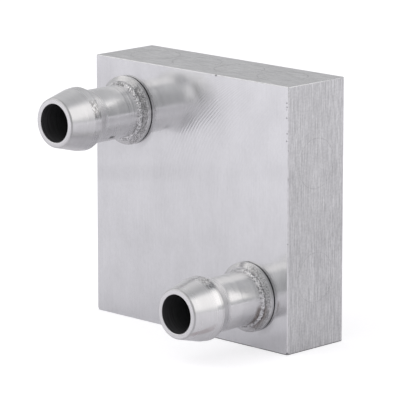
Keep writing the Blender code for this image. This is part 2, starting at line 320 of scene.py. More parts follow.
# %% The finish helper
class Finish:
    """A bare metal: a Principled shader, with the nodes that vary it. Lengths are in millimetres."""

    def __init__(self, name, colour, roughness, metallic=1.0):
        self.material = bpy.data.materials.new(name)
        self.material.use_nodes = True
        self.tree = self.material.node_tree
        self.shader = self.tree.nodes["Principled BSDF"]
        self.colour = colour
        self.shader.inputs["Base Color"].default_value = (*colour, 1.0)
        self.shader.inputs["Roughness"].default_value = roughness
        self.shader.inputs["Metallic"].default_value = metallic
        coordinates = self.tree.nodes.new("ShaderNodeTexCoord")
        self.place = scaled(self.tree, coordinates.outputs["Object"], 1.0 / MM)
        split = self.tree.nodes.new("ShaderNodeSeparateXYZ")
        put(self.tree, self.place, split.inputs[0])
        self.x, self.y, self.z = split.outputs

    def math(self, operation, *values):
        return add_math(self.tree, operation, *values)

    def times(self, first, *factors):
        """The product of two or more values."""
        for factor in factors:
            first = self.math("MULTIPLY", first, factor)
        return first

    def plus(self, first, *others):
        """The sum of two or more values."""
        for other in others:
            first = self.math("ADD", first, other)
        return first

    def minus(self, first, second):
        return self.math("SUBTRACT", first, second)

    def distance_off(self, value, middle):
        """How far a value is from this one, to either side."""
        return self.math("ABSOLUTE", self.minus(value, middle))

    def remap(self, value, low, high, new_low=0.0, new_high=1.0):
        """Carries a value from one range to another with soft ends."""
        return new_range(self.tree, "SMOOTHSTEP", value, low, high, new_low, new_high)

    def grain(self, size, detail=2.0, shift=(0.0, 0.0, 0.0)):
        """Noise from 0 to 1 whose specks are about this long, wide and tall in millimetres."""
        mapping = self.tree.nodes.new("ShaderNodeMapping")
        mapping.inputs["Location"].default_value = shift
        mapping.inputs["Scale"].default_value = [1.0 / length for length in size]
        put(self.tree, self.place, mapping.inputs["Vector"])
        texture = self.tree.nodes.new("ShaderNodeTexNoise")
        texture.inputs["Scale"].default_value = 1.0
        texture.inputs["Detail"].default_value = detail
        put(self.tree, mapping.outputs[0], texture.inputs["Vector"])
        return texture.outputs["Fac"]

    def near(self, place, radius, soft):
        """1 within this distance of a place, fading to 0 outside it."""
        return soft_step(self.tree, distance_from(self.tree, self.place, place), radius, radius + soft)

    def painted(self, name):
        """A value that was painted on the mesh's vertices."""
        node = self.tree.nodes.new("ShaderNodeAttribute")
        node.attribute_name = name
        return node.outputs["Fac"]

    def tone(self, factor):
        """Makes the metal's own colour lighter or darker by this factor."""
        put(self.tree, scaled(self.tree, self.colour, factor), self.shader.inputs["Base Color"])

    def tint(self, colour, amount):
        """Mixes another colour over the toned one by an amount that varies."""
        base = self.shader.inputs["Base Color"]
        toned = base.links[0].from_socket
        put(self.tree, mix_colours(self.tree, amount, toned, (*colour, 1.0)), base)

    def rough(self, value):
        put(self.tree, value, self.shader.inputs["Roughness"])

    def relief(self, height):
        """Bends the light by a height in millimetres."""
        node = self.tree.nodes.new("ShaderNodeBump")
        node.inputs["Strength"].default_value = 1.0
        node.inputs["Distance"].default_value = MM
        put(self.tree, height, node.inputs["Height"])
        put(self.tree, node.outputs[0], self.shader.inputs["Normal"])


# %% [markdown]
# ## The milled front
#
# The front was faced by a cutter about 50 mm across that moved sideways over the block. It left one shallow
# scallop every six tenths of a millimetre, each an arc of the cutter's circle. From the front they stand
# upright below the middle and lean to the right further up, and they are deep only in one band beside the
# inlet. At five thousandths of a millimetre they are far below what a mesh needs to carry. The arcs are
# therefore relief in the material, computed from the cutter's radius, so they bend reflections as the real
# marks do. Over them lie a dull band, a darker band across the middle height that fades to the right, and
# painted shade just right of each collar, for the collar's shadow and its mirror image in the face.

# %% Milling marks
CUTTER_RADIUS = 25.0
CUTTER_MIDDLE = -3.0
CUTTER_FEED = 0.62
FEED_WANDER = 1.6
SCALLOP_HEIGHT = 0.0050
BRUSHING_HEIGHT = 0.0016
DEEP_MARKS_PLACE = (2.9, 13.9)
ACROSS_DEEP_MARKS = (0.82, -0.57)
DEEP_HALF = 2.1
DEEP_SOFT = 1.1
FRONT_METAL = (0.858, 0.860, 0.872)

front = Finish("milled_front", FRONT_METAL, 0.24)
cutter_height = front.minus(front.z, CUTTER_MIDDLE)
across = front.math("SQRT", front.minus(CUTTER_RADIUS**2, front.math("POWER", cutter_height, 2.0)))
pass_number = front.math("DIVIDE", front.plus(front.x, across), CUTTER_FEED)
wander = front.times(front.grain((9.0, 9.0, 9.0)), FEED_WANDER)
within_pass = front.math("FRACT", front.plus(pass_number, wander))
scallop = front.times(4.0, within_pass, front.minus(1.0, within_pass))
along_x = front.times(front.minus(front.x, DEEP_MARKS_PLACE[0]), ACROSS_DEEP_MARKS[0])
along_z = front.times(front.minus(front.z, DEEP_MARKS_PLACE[1]), ACROSS_DEEP_MARKS[1])
beside_marks = front.plus(along_x, along_z)
from_left = front.remap(beside_marks, -DEEP_HALF - DEEP_SOFT, -DEEP_HALF, 0.08, 1.0)
from_right = front.remap(beside_marks, DEEP_HALF, DEEP_HALF + 5.0 * DEEP_SOFT, 1.0, 0.40)
upper_half = front.remap(front.z, -2.0, 13.0, 0.25, 1.0)
mark_depth = front.times(scallop, from_left, from_right, upper_half)
brushing = front.grain((0.16, 1.0, 7.0), 3.0)
front.relief(front.plus(front.times(mark_depth, SCALLOP_HEIGHT), front.times(brushing, BRUSHING_HEIGHT)))

# %% Tone of the front, its darker middle and painted shade by the collars
SCALLOP_TONE = 0.055
BAND_HEIGHT = 4.6
BAND_LEAN = 0.15
BAND_HALF_WIDTH = 1.9
BAND_TONE = 0.050
# The front is a little darker across its middle height, most at the left.
DARKER_MIDDLE_HEIGHT = -0.5
DARKER_MIDDLE_TONE = 0.045
# Painted shade: the front is darkened in a narrow ring just right of each collar, for the collar's shadow and
# mirror image.
COLLAR_SHADE_PLACES = ((-13.2, -12.0, 12.3), (12.2, -12.0, -12.4))
COLLAR_SHADE_RADIUS = 5.3
COLLAR_SHADE_WIDTH = 1.2
COLLAR_SHADE_TONE = 0.30
BRUSHING_TONE = 0.11
MOTTLE_TONE = 0.11

cloud = front.grain((4.0, 4.0, 6.0), 4.0, (3.0, 0.0, 1.0))
mottle = front.grain((0.35, 0.35, 0.5), 3.0, (5.0, 0.0, 2.0))
front.rough(front.remap(cloud, 0.3, 0.7, 0.125, 0.165))

above_band = front.minus(front.minus(front.z, BAND_HEIGHT), front.times(front.x, BAND_LEAN))
band = front.remap(front.math("ABSOLUTE", above_band), 0.3, BAND_HALF_WIDTH, 1.0, 0.0)
band = front.times(band, front.remap(front.x, -10.0, 6.0, BAND_TONE, BAND_TONE * 0.25))
darker_middle = front.remap(front.distance_off(front.z, DARKER_MIDDLE_HEIGHT), 6.0, 14.0, DARKER_MIDDLE_TONE, 0.0)
darker_middle = front.times(darker_middle, front.remap(front.x, 4.0, 14.0, 1.0, 0.2))
# Painted shade beside each collar, strongest above and below its axis and broken up by the cloud.
collar_shade = 0.0
for collar_shade_place in COLLAR_SHADE_PLACES:
    right_of_it = front.remap(front.x, collar_shade_place[0] + 1.0, collar_shade_place[0] + 4.5)
    off_axis = front.remap(front.distance_off(front.z, collar_shade_place[2]), 1.0, 3.4, 0.12, 1.0)
    close = front.near(collar_shade_place, COLLAR_SHADE_RADIUS, COLLAR_SHADE_WIDTH)
    collar_shade = front.plus(collar_shade, front.times(close, off_axis, right_of_it))
collar_shade = front.times(collar_shade, front.remap(cloud, 0.3, 0.6, COLLAR_SHADE_TONE * 0.6, COLLAR_SHADE_TONE))

front_tone = front.minus(front.minus(front.remap(cloud, 0.25, 0.75, 0.840, 0.905), band), darker_middle)
front_tone = front.plus(front_tone, front.times(brushing, BRUSHING_TONE), front.times(mottle, MOTTLE_TONE))
front_tone = front.minus(front_tone, front.times(mark_depth, SCALLOP_TONE))
# The painted shade beside the collars darkens the toned front.
front.tone(front.times(front_tone, front.minus(1.0, collar_shade)))

# %% [markdown]
# ## The brushed narrow faces
#
# The four narrow faces were drawn over an abrasive belt after the plugs were pressed in, so the streaks run
# across block and plugs alike. Long thin noise, stretched along the belt's direction, gives the streaks. The
# same finish goes on the plugs' ends, and since it reads the same coordinates, its streaks run on over them.

# %% Brushed finishes
SIDE_METAL = (0.745, 0.745, 0.749)
TOP_METAL = (0.772, 0.768, 0.772)
BRUSHED_HEIGHT = 0.006


def brushed(name, colour, streak, fine_streak, smear):
    """A belt finish: streaks of these sizes, long in the direction that the belt ran."""
    finish = Finish(name, colour, 0.38)
    coarse = finish.grain(streak, 1.0)
    fine = finish.grain(fine_streak, 2.0, (5.0, 2.0, 7.0))
    patches = finish.grain(smear, 3.0, (1.0, 8.0, 4.0))
    coarse_tone = finish.remap(coarse, 0.34, 0.66, 0.94, 1.05)
    fine_tone = finish.remap(fine, 0.36, 0.64, 0.90, 1.10)
    patch_tone = finish.remap(patches, 0.30, 0.72, 0.96, 1.03)
    # Painted shade: the narrow faces grow a little darker towards the bottom, where less light reaches them.
    painted_shade_below = finish.remap(finish.z, -18.0, 14.0, 0.955, 1.0)
    specks = finish.remap(finish.grain((0.30, 0.30, 0.30), 2.0), 0.3, 0.7, 0.94, 1.06)
    finish.tone(finish.times(coarse_tone, fine_tone, patch_tone, painted_shade_below, specks))
    finish.rough(finish.remap(coarse, 0.3, 0.7, 0.32, 0.46))
    finish.relief(finish.times(finish.plus(coarse, fine), BRUSHED_HEIGHT))
    return finish


side = brushed("brushed_side", SIDE_METAL, (1.0, 0.28, 15.0), (1.0, 0.19, 2.6), (5.0, 4.0, 7.0))
top = brushed("brushed_top", TOP_METAL, (12.0, 0.40, 1.0), (2.8, 0.24, 1.0), (7.0, 4.0, 4.0))

# %% [markdown]
# The other surfaces are short finishes. The broken edges are smoother than the narrow faces. Painted shade
# darkens the right part of the edge that the block stands on, for its contact shadow. The floor of a ding is
# darker.

# %% Edges, back and drilled holes
EDGE_METAL = (0.83, 0.83, 0.84)
BACK_METAL = (0.60, 0.60, 0.62)
DRILLED_METAL = (0.30, 0.30, 0.31)
KNOCKED_METAL = (0.40, 0.40, 0.41)
EDGE_HEIGHT = 0.002
BACK_HEIGHT = 0.003
DRILLED_HEIGHT = 0.02

edge = Finish("broken_edge", EDGE_METAL, 0.26)
edge_grain = edge.grain((0.7, 0.7, 0.7), 3.0)
# Painted shade: a dark line along the right part of the bottom front edge, for the contact shadow under the
# block.
near_the_floor = edge.remap(edge.z, -19.75, -19.9)
to_the_right = edge.remap(edge.x, -4.0, 8.0)
painted_contact_shade = edge.remap(edge.grain((2.5, 1.0, 1.0), 3.0), 0.30, 0.50, 0.1, 0.75)
painted_contact_shade = edge.times(painted_contact_shade, near_the_floor, to_the_right)
edge.tone(edge.times(edge.remap(edge_grain, 0.30, 0.62, 0.94, 1.06), edge.minus(1.0, painted_contact_shade)))
edge.relief(edge.times(edge_grain, EDGE_HEIGHT))

back = Finish("faced_back", BACK_METAL, 0.26)
back_streaks = back.grain((0.2, 1.0, 9.0), 3.0)
back.tone(back.remap(back_streaks, 0.3, 0.7, 0.93, 1.03))
back.rough(back.remap(back_streaks, 0.3, 0.7, 0.22, 0.32))
back.relief(back.times(back_streaks, BACK_HEIGHT))

drilled = Finish("drilled_hole", DRILLED_METAL, 0.42)
drill_rings = drilled.grain((0.3, 0.3, 0.3), 2.0)
drilled.tone(drilled.remap(drill_rings, 0.3, 0.7, 0.8, 1.1))
drilled.relief(drilled.times(drill_rings, DRILLED_HEIGHT))

# The floors of the dings get a darker metal.
knocked = Finish("knocked_metal", KNOCKED_METAL, 0.34)

# %% [markdown]
# ## Modelling helpers
#
# Pieces are modelled as by hand: a primitive, then edit-mode operators on it, and cutters that take material
# away. Operators act on whatever is selected, so each step starts by selecting exactly what it needs. Most of
# this object was made on a lathe or with a drill. For those shapes one helper draws half of the outline by
# extruding a single vertex from corner to corner, and then spins it round the axis.

# %% Helpers for modelling
SMALLEST_GAP = 0.0005 * MM
CREASE_ANGLE = math.radians(30.0)


def select_alone(obj):
    bpy.ops.object.select_all(action="DESELECT")
    obj.select_set(True)
    bpy.context.view_layer.objects.active = obj


def edit(obj):
    """Selects one object alone and goes into edit mode on it."""
    select_alone(obj)
    bpy.ops.object.mode_set(mode="EDIT")


def finish_edit():
    bpy.ops.object.mode_set(mode="OBJECT")
    return bpy.context.object


def settle(obj):
    """Puts an object's place, turn and size into its mesh, so that it sits at the origin."""
    select_alone(obj)
    bpy.ops.object.transform_apply(location=True, rotation=True, scale=True)


def spin_outline(name, outline, place, out, sides):
    """Extrudes a vertex along (radius, distance) corners, closes the outline and spins it round its axis."""
    axis = Vector(out).normalized()
    across = axis.orthogonal().normalized()
    corners = [place + across * radius * MM + axis * distance * MM for radius, distance in outline]
    bpy.ops.object.select_all(action="DESELECT")
    bpy.ops.mesh.primitive_plane_add(size=MM, location=corners[0])
    bpy.context.object.name = name
    settle(bpy.context.object)
    bpy.ops.object.mode_set(mode="EDIT")
    bpy.ops.mesh.select_all(action="SELECT")
    bpy.ops.mesh.merge(type="CENTER")
    for last, here in zip(corners, corners[1:]):
        bpy.ops.mesh.extrude_vertices_move(TRANSFORM_OT_translate={"value": here - last})
    mesh = bmesh.from_edit_mesh(bpy.context.object.data)
    mesh.verts.ensure_lookup_table()
    bpy.ops.mesh.select_all(action="DESELECT")
    for vert in mesh.verts:
        vert.select_set(len(vert.link_edges) == 1)
    bpy.ops.mesh.edge_face_add()
    bpy.ops.mesh.select_all(action="SELECT")
    bpy.ops.mesh.spin(steps=sides, angle=math.tau, center=place, axis=axis)
    bpy.ops.mesh.select_all(action="SELECT")
    bpy.ops.mesh.remove_doubles(threshold=SMALLEST_GAP)
    bpy.ops.mesh.normals_make_consistent(inside=False)
    return finish_edit()


def cut_away(target, cutter):
    """Takes the cutter's shape out of the target and deletes the cutter."""
    select_alone(target)
    modifier = target.modifiers.new("cut", "BOOLEAN")
    modifier.operation = "DIFFERENCE"
    modifier.solver = "EXACT"
    modifier.object = cutter
    bpy.ops.object.modifier_apply(modifier=modifier.name)
    bpy.data.objects.remove(cutter)


def smooth(obj, angle=CREASE_ANGLE):
    select_alone(obj)
    bpy.ops.object.shade_smooth_by_angle(angle=angle)


def give_to_body(obj, slot, *nodes):
    """Hides the CAD nodes that the piece stands for and puts it on its body. The slot is not used."""
    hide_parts(*nodes)
    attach(obj, BODY)
    print(obj.name, len(obj.data.polygons), "faces")


# %% [markdown]
# ## The slab
#
# The body is a piece of bar, so it starts as a cube at the CAD body's own size. Its edges are bevelled by a
# little under two tenths of a millimetre, as a file or a deburring wheel leaves them. The galleries and ports
# are drilled with spun cutters, and last come the dings, cut with small balls. The bright line along each
# edge and the specks beside it come from this geometry. Only the floors of the dings get a darker metal too.

# %% Slab body
slab_low, slab_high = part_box("block_body")
SLAB_CENTRE = (slab_low + slab_high) / 2
EDGE_BREAK = 0.17
EDGE_SEGMENTS = 4

bpy.ops.object.select_all(action="DESELECT")
bpy.ops.mesh.primitive_cube_add(size=1.0, location=SLAB_CENTRE)
slab = bpy.context.object
slab.name = "drilled_slab"
slab.scale = slab_high - slab_low
settle(slab)
edit(slab)
bpy.ops.mesh.select_all(action="SELECT")
bpy.ops.mesh.bevel(offset=EDGE_BREAK * MM, segments=EDGE_SEGMENTS, profile=0.5, affect="EDGES")
finish_edit()

# %% Drilled holes
# The seam is the gap round a plug. It is wider on top, where the plugs' outlines show more.
GALLERY_RADIUS = 3.20
CROSS_RADIUS = 3.00
PLUG_RADIUS = 3.75
SIDE_SEAM = 0.007
TOP_SEAM = 0.024
SEAT_DEPTH = 3.05
DRILL_POINT = 0.60
END_WALL = 4.6
OVERSHOOT = 1.0
HOLE_SIDES = 96
SHANK_RADIUS = 3.70
SHANK_GAP = 0.05
BORE_RADIUS = 2.93
PORT_SEAT = 3.40
PORT_DEPTH = 6.5


def drill(name, mouth, out, seat_radius, seat_depth, radius, depth, point):
    outline = [
        (0.0, OVERSHOOT),
        (seat_radius, OVERSHOOT),
        (seat_radius, -seat_depth),
        (radius, -seat_depth),
        (radius, -depth),
        (0.0, -depth - point),
    ]
    cut_away(slab, spin_outline(name, outline, mouth, out, HOLE_SIDES))


def middle_of(node, axis, edge_value):
    """The centre of a CAD node's box, moved along one axis to the face that it is flush with."""
    low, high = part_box(node)
    middle = (low + high) / 2
    middle[axis] = edge_value
    return middle


TOP_MOUTHS = [middle_of(f"top_plug_{number}", 2, slab_high.z) for number in (1, 2, 3, 4)]
SIDE_MOUTHS = [middle_of(f"side_plug_{number}", 0, slab_high.x) for number in (1, 2)]
INLET = middle_of("inlet_nozzle", 1, slab_low.y)
OUTLET = middle_of("outlet_nozzle", 1, slab_low.y)
UP, RIGHT, FORWARD = Vector((0, 0, 1)), Vector((1, 0, 0)), Vector((0, -1, 0))
BAR_LENGTH = (slab_high.x - slab_low.x) / MM

for name, mouths, out, radius, seam in (
    ("gallery", TOP_MOUTHS, UP, GALLERY_RADIUS, TOP_SEAM),
    ("cross_gallery", SIDE_MOUTHS, RIGHT, CROSS_RADIUS, SIDE_SEAM),
):
    point = DRILL_POINT * radius
    depth = BAR_LENGTH - END_WALL - point
    for mouth in mouths:
        drill(name, mouth, out, PLUG_RADIUS + seam, SEAT_DEPTH, radius, depth, point)
for mouth in (INLET, OUTLET):
    drill("port", mouth, FORWARD, SHANK_RADIUS + SHANK_GAP, PORT_SEAT, BORE_RADIUS, PORT_DEPTH, 0.0)
print("holes drilled,", len(slab.data.polygons), "faces")

# %% Dings in the edges
# Each ding: x and z on the front face in millimetres, the radius of the ball that cuts it and how deep the
# ball goes in. Those by the right edge stand in a row, where something once knocked against it. One more ball
# starts the cutter. It lies off the slab and cuts nothing.
DINGS = (
    (5.4, 19.9, 0.16, 0.12),
    (19.70, 17.6, 0.11, 0.085), (19.74, 17.0, 0.115, 0.09), (19.66, 16.6, 0.08, 0.06),
    (19.70, 15.4, 0.11, 0.085), (19.76, 13.1, 0.11, 0.085), (19.70, 12.0, 0.10, 0.08),
    (20.0, 10.6, 0.08, 0.06), (20.0, 6.3, 0.09, 0.07), (20.0, -3.3, 0.09, 0.07), (20.0, -19.9, 0.40, 0.26),
    (-20.0, -19.8, 0.26, 0.15), (-20.0, 4.0, 0.12, 0.08), (-20.0, -9.5, 0.12, 0.08),
    (-3.0, -20.0, 0.20, 0.12), (4.4, -20.0, 0.16, 0.10), (11.5, -20.0, 0.20, 0.12), (16.0, -20.0, 0.14, 0.09),
)
BY_AN_EDGE = 19.5
EDGE_SET_BACK = 0.42 * EDGE_BREAK
OFF_THE_SLAB = (30.0 * MM, -30.0 * MM, 30.0 * MM)
ding_centres = []
bpy.ops.object.select_all(action="DESELECT")
bpy.ops.mesh.primitive_ico_sphere_add(subdivisions=2, radius=0.1 * MM, location=OFF_THE_SLAB)
settle(bpy.context.object)
bpy.ops.object.mode_set(mode="EDIT")
for x, z, radius, depth in DINGS:
    outwards = Vector((0.0, -1.0, 0.0))
    if abs(x) > BY_AN_EDGE:
        outwards.x = math.copysign(1.0, x)
    if abs(z) > BY_AN_EDGE:
        outwards.z = math.copysign(1.0, z)
    outwards.normalize()
    edge_place = Vector((x * MM, slab_low.y, z * MM)) - outwards * EDGE_SET_BACK * MM
    centre = edge_place + outwards * (radius - depth) * MM
    ding_centres.append((centre, radius * MM))
    bpy.ops.mesh.primitive_ico_sphere_add(subdivisions=2, radius=radius * MM, location=centre)
cut_away(slab, finish_edit())
print("dings cut,", len(slab.data.polygons), "faces")

# %% Slab finishes
# Faces are told apart by their normal and by how near they lie to the slab's outer planes. A broken edge lies
# near two of them, within the two distances of the edge zone. The borders between finishes stay sharp, so the
# rounded edges don't bend the light on the flat faces beside them.
SLAB_FINISHES = (front, side, top, edge, back, drilled, knocked)
NEAR = 0.02 * MM
FLAT = 0.99
BALL_TOLERANCE = 0.08
FACES_THE_MIDDLE = 0.8
EDGE_ZONE = (0.5 * MM, 0.7 * MM)


def in_a_ding(place, normal):
    """Whether a face lies on one of the balls that cut the dings, and faces its middle."""
    for centre, radius in ding_centres:
        on_the_ball = abs((centre - place).length - radius) < BALL_TOLERANCE * radius
        if on_the_ball and normal.dot(centre - place) > FACES_THE_MIDDLE * radius:
            return True
    return False


def finish_of(place, normal):
    """The finish of a face of the slab."""
    gaps = [min(abs(at - low), abs(at - high)) for at, low, high in zip(place, slab_low, slab_high)]
    nearest, second_nearest = sorted(gaps)[:2]
    if normal.y < -FLAT and gaps[1] < NEAR:
        return front
    if normal.y > FLAT and gaps[1] < NEAR:
        return back
    if abs(normal.x) > FLAT and gaps[0] < NEAR:
        return side
    if abs(normal.z) > FLAT and gaps[2] < NEAR:
        return top
    if in_a_ding(place, normal):
        return knocked
    if nearest < EDGE_ZONE[0] and second_nearest < EDGE_ZONE[1]:
        return edge
    return drilled


slab.data.materials.clear()
for finish in SLAB_FINISHES:
    slab.data.materials.append(finish.material)
for face in slab.data.polygons:
    face.material_index = SLAB_FINISHES.index(finish_of(face.center, face.normal))
smooth(slab)
edit(slab)
mesh = bmesh.from_edit_mesh(slab.data)
for mesh_edge in mesh.edges:
    if len({face.material_index for face in mesh_edge.link_faces}) > 1:
        mesh_edge.smooth = False
bmesh.update_edit_mesh(slab.data)
finish_edit()
give_to_body(slab, "milled_aluminium", "block_body")

# %% [markdown]
# ## The plugs
#
# Each gallery mouth is closed by a round slug, pressed in and then belted flush with the face. All that
# shows is a hairline circle. One outline, with a lead at the inner end and a barely broken outer edge, is
# spun at each of the six mouths. The slug's end takes the finish of the face that it is flush with.

# %% Plugs
PLUG_LENGTH = 3.0
PLUG_LEAD = 0.3
PLUG_EDGE = 0.010
plug_outline = [
    (0.0, -PLUG_LENGTH),
    (PLUG_RADIUS - PLUG_LEAD, -PLUG_LENGTH),
    (PLUG_RADIUS, PLUG_LEAD - PLUG_LENGTH),
    (PLUG_RADIUS, -PLUG_EDGE),
    (PLUG_RADIUS - PLUG_EDGE, 0.0),
    (0.0, 0.0),
]


def press_plug(name, node, mouth, out, face_finish):
    plug = spin_outline(name, plug_outline, mouth, out, HOLE_SIDES)
    plug.data.materials.append(face_finish.material)
    plug.data.materials.append(drilled.material)
    for face in plug.data.polygons:
        flush = face.normal.dot(out) > FLAT and (face.center - mouth).dot(out) > -NEAR
        face.material_index = 0 if flush else 1
    smooth(plug)
    give_to_body(plug, "plug_aluminium", node)


for number, mouth in enumerate(TOP_MOUTHS, start=1):
    press_plug(f"top_slug_{number}", f"top_plug_{number}", mouth, UP, top)
for number, mouth in enumerate(SIDE_MOUTHS, start=1):
    press_plug(f"side_slug_{number}", f"side_plug_{number}", mouth, RIGHT, side)

# %% [markdown]
# ## The turned nozzle's finish
#
# A lathe leaves fine rings round the piece, so light spreads along the nozzle's axis far more than around it.
# The Principled shader's anisotropic setting does this, with a tangent that runs round the nozzle's own axis.
# Rings of stretched noise in relief and tone break up the bright bands. Where the nozzle gets a painted
# highlight, is made dull by the brazing heat, darkened by painted shade, crusted with flux, chattered by the
# tool or stained, a value is painted on its vertices, because these places are known. The material then turns
# each value into its own pattern.

# %% Turned finish
NOZZLE_METAL = (0.858, 0.853, 0.858)
STAIN_COLOUR = (0.130, 0.075, 0.045)
SMEAR_COLOUR = (0.300, 0.190, 0.180)
DIRT_COLOUR = (0.030, 0.030, 0.032)
RING_HEIGHT = 0.0019
HANDLING_HEIGHT = 0.003
CRUST_HEIGHT = 0.05
ALONG_THE_AXIS = 0.80
QUARTER_TURN = 0.25

turned = Finish("turned_nozzle", NOZZLE_METAL, 0.20)
fine_rings = turned.grain((60.0, 0.07, 60.0), 2.0)
broad_rings = turned.grain((40.0, 0.60, 40.0), 2.0, (2.0, 5.0, 3.0))
handling = turned.grain((1.2, 1.6, 1.2), 4.0, (4.0, 1.0, 6.0))
crust_grain = turned.grain((0.18, 0.18, 0.18), 3.0, (7.0, 2.0, 1.0))
chatter_grain = turned.grain((0.42, 0.11, 0.42), 2.0, (3.0, 3.0, 5.0))
dulled = turned.painted("dulled")
crust = turned.painted("crust")

# Painted highlight: the tone is raised where the lit cloth at the right is mirrored in the nozzle.
polished_tone = turned.plus(0.81, turned.times(turned.painted("polish"), 0.13))
ring_tone = turned.plus(turned.times(fine_rings, 0.12), turned.times(broad_rings, 0.13))
clean_tone = turned.plus(polished_tone, ring_tone, turned.times(handling, 0.14))
crust_tone = turned.times(crust, turned.remap(crust_grain, 0.36, 0.62, 0.60, -0.20))
chatter_tone = turned.times(turned.painted("chatter"), turned.remap(chatter_grain, 0.38, 0.58, 0.0, 0.56))
rough_tone = turned.minus(1.0, turned.plus(crust_tone, chatter_tone))
# The dulling is heat scale on the collar, and painted shade on the undersides, the lip and the land.
dull_and_shade_tone = turned.minus(1.0, turned.times(dulled, 0.52))
turned.tone(turned.times(clean_tone, rough_tone, dull_and_shade_tone))
turned.tint(SMEAR_COLOUR, turned.painted("smear"))
turned.tint(STAIN_COLOUR, turned.painted("stain"))
turned.tint(DIRT_COLOUR, turned.painted("dirt"))

ring_roughness = turned.remap(broad_rings, 0.3, 0.7, 0.20, 0.27)
scale_roughness = turned.times(turned.math("POWER", dulled, 2.0), 0.22)
matt_roughness = turned.times(turned.painted("matt"), 0.35)
turned.rough(turned.plus(matt_roughness, ring_roughness, scale_roughness))
ring_relief = turned.plus(turned.times(fine_rings, RING_HEIGHT), turned.times(handling, HANDLING_HEIGHT))
turned.relief(turned.plus(ring_relief, turned.times(crust, crust_grain, CRUST_HEIGHT)))
turned.shader.inputs["Anisotropic"].default_value = ALONG_THE_AXIS
turned.shader.inputs["Anisotropic Rotation"].default_value = QUARTER_TURN
round_axis = turned.tree.nodes.new("ShaderNodeTangent")
round_axis.direction_type = "RADIAL"
round_axis.axis = "Y"
put(turned.tree, round_axis.outputs[0], turned.shader.inputs["Tangent"])

# The inside of each nozzle is painted nearly black: painted shade for its dark hollow.
BORE_SHADE_COLOUR = (0.070, 0.070, 0.074)
BORE_HEIGHT = 0.01
bore_shade = Finish("nozzle_bore_shade", BORE_SHADE_COLOUR, 0.55, 0.3)
bore_rings = bore_shade.grain((3.0, 0.2, 3.0), 2.0)
bore_shade.tone(bore_shade.remap(bore_rings, 0.3, 0.7, 0.7, 1.2))
bore_shade.relief(bore_shade.times(bore_rings, BORE_HEIGHT))

# %% [markdown]
# ## The nozzles
#
# Each nozzle is one turned piece: a shank that sits in the block, a collar just off its face, the tube, and a
# hose barb with a rounded crest. The barb's long taper ends in a narrow land before the crest. The outline is
# the CAD model's, with finer arcs and with many stations along the tube and the collar, so that small hollows
# can be pressed into the metal afterwards. One nozzle is spun and copied, and each copy gets its own marks.

# %% Nozzle outline
TUBE_RADIUS = 4.05
TIP_RADIUS = 3.70
LAND_FRONT_RADIUS = 4.70
CREST_RADIUS = 4.83
COLLAR_RADIUS = 5.26
REACH = 15.25
MOUTH_CHAMFER = 0.05
LAND_FRONT = 11.30
CREST_AT = 10.08
ROOT_AT = 8.25
COLLAR_FRONT = 1.20
COLLAR_SHOULDER = 0.60
COLLAR_GAP = 0.12
COLLAR_CHAMFER = 0.66
SHANK_END = -3.35
SHANK_LEAD = 0.3
TIP_ROUNDING = 0.30
LAND_ROUNDING = 0.5
CREST_ROUNDING = 0.7
ROOT_ROUNDING = 3.0
COLLAR_ROUNDING = 0.08
NOZZLE_SIDES = 256
ARC_STEPS = 10
STATION_SPACING = 0.11
TINY = 0.01
OUTER_SIDE = BORE_RADIUS + 0.4
MOST_OF_HALF = 0.49


def rounded(corners):
    """Puts an arc in each corner given as (radius, distance, rounding), and keeps the sharp ones."""
    points = []
    for index, (radius, distance, rounding) in enumerate(corners):
        corner = Vector((radius, distance))
        if not rounding:
            points.append(corner)
            continue
        to_last = Vector(corners[index - 1][:2]) - corner
        to_next = Vector(corners[(index + 1) % len(corners)][:2]) - corner
        half_opening = to_last.angle(to_next) / 2
        longest = MOST_OF_HALF * min(to_last.length, to_next.length)
        cut_back = min(rounding / math.tan(half_opening), longest)
        middle = (to_last.normalized() + to_next.normalized()).normalized()
        centre = corner + middle * cut_back / math.cos(half_opening)
        first = corner + to_last.normalized() * cut_back - centre
        last = corner + to_next.normalized() * cut_back - centre
        start = math.atan2(first.y, first.x)
        sweep = math.remainder(math.atan2(last.y, last.x) - start, math.tau)
        for step in range(ARC_STEPS + 1):
            angle = start + sweep * step / ARC_STEPS
            points.append(centre + first.length * Vector((math.cos(angle), math.sin(angle))))
    return points


def stationed(points, spacing, low, high):
    """Adds stations no further apart than the spacing, on the outer side between two distances."""
    filled = []
    for last, here in zip(points, points[1:]):
        filled.append(last)
        inside = low - TINY <= min(last.y, here.y) and max(last.y, here.y) <= high + TINY
        if inside and min(last.x, here.x) > OUTER_SIDE:
            pieces = max(1, math.ceil((here - last).length / spacing))
            filled += [last.lerp(here, step / pieces) for step in range(1, pieces)]
    return filled + [points[-1]]


corners = [
    (BORE_RADIUS, SHANK_END, 0),
    (BORE_RADIUS, REACH - MOUTH_CHAMFER, 0),
    (BORE_RADIUS + MOUTH_CHAMFER, REACH, 0),
    (TIP_RADIUS, REACH, TIP_ROUNDING),
    (LAND_FRONT_RADIUS, LAND_FRONT, LAND_ROUNDING),
    (CREST_RADIUS, CREST_AT, CREST_ROUNDING),
    (TUBE_RADIUS, ROOT_AT, ROOT_ROUNDING),
    (TUBE_RADIUS, COLLAR_FRONT, 0),
    (COLLAR_RADIUS - COLLAR_CHAMFER, COLLAR_FRONT, 0),
    (COLLAR_RADIUS, COLLAR_SHOULDER, COLLAR_ROUNDING),
    (COLLAR_RADIUS, COLLAR_GAP, COLLAR_ROUNDING),
    (SHANK_RADIUS, COLLAR_GAP, 0),
    (SHANK_RADIUS, SHANK_END + SHANK_LEAD, 0),
    (SHANK_RADIUS - SHANK_LEAD, SHANK_END, 0),
]
outline = stationed(rounded(corners), STATION_SPACING, COLLAR_SHOULDER, REACH)
inlet_nozzle = spin_outline("inlet_hose_nozzle", outline, INLET, FORWARD, NOZZLE_SIDES)
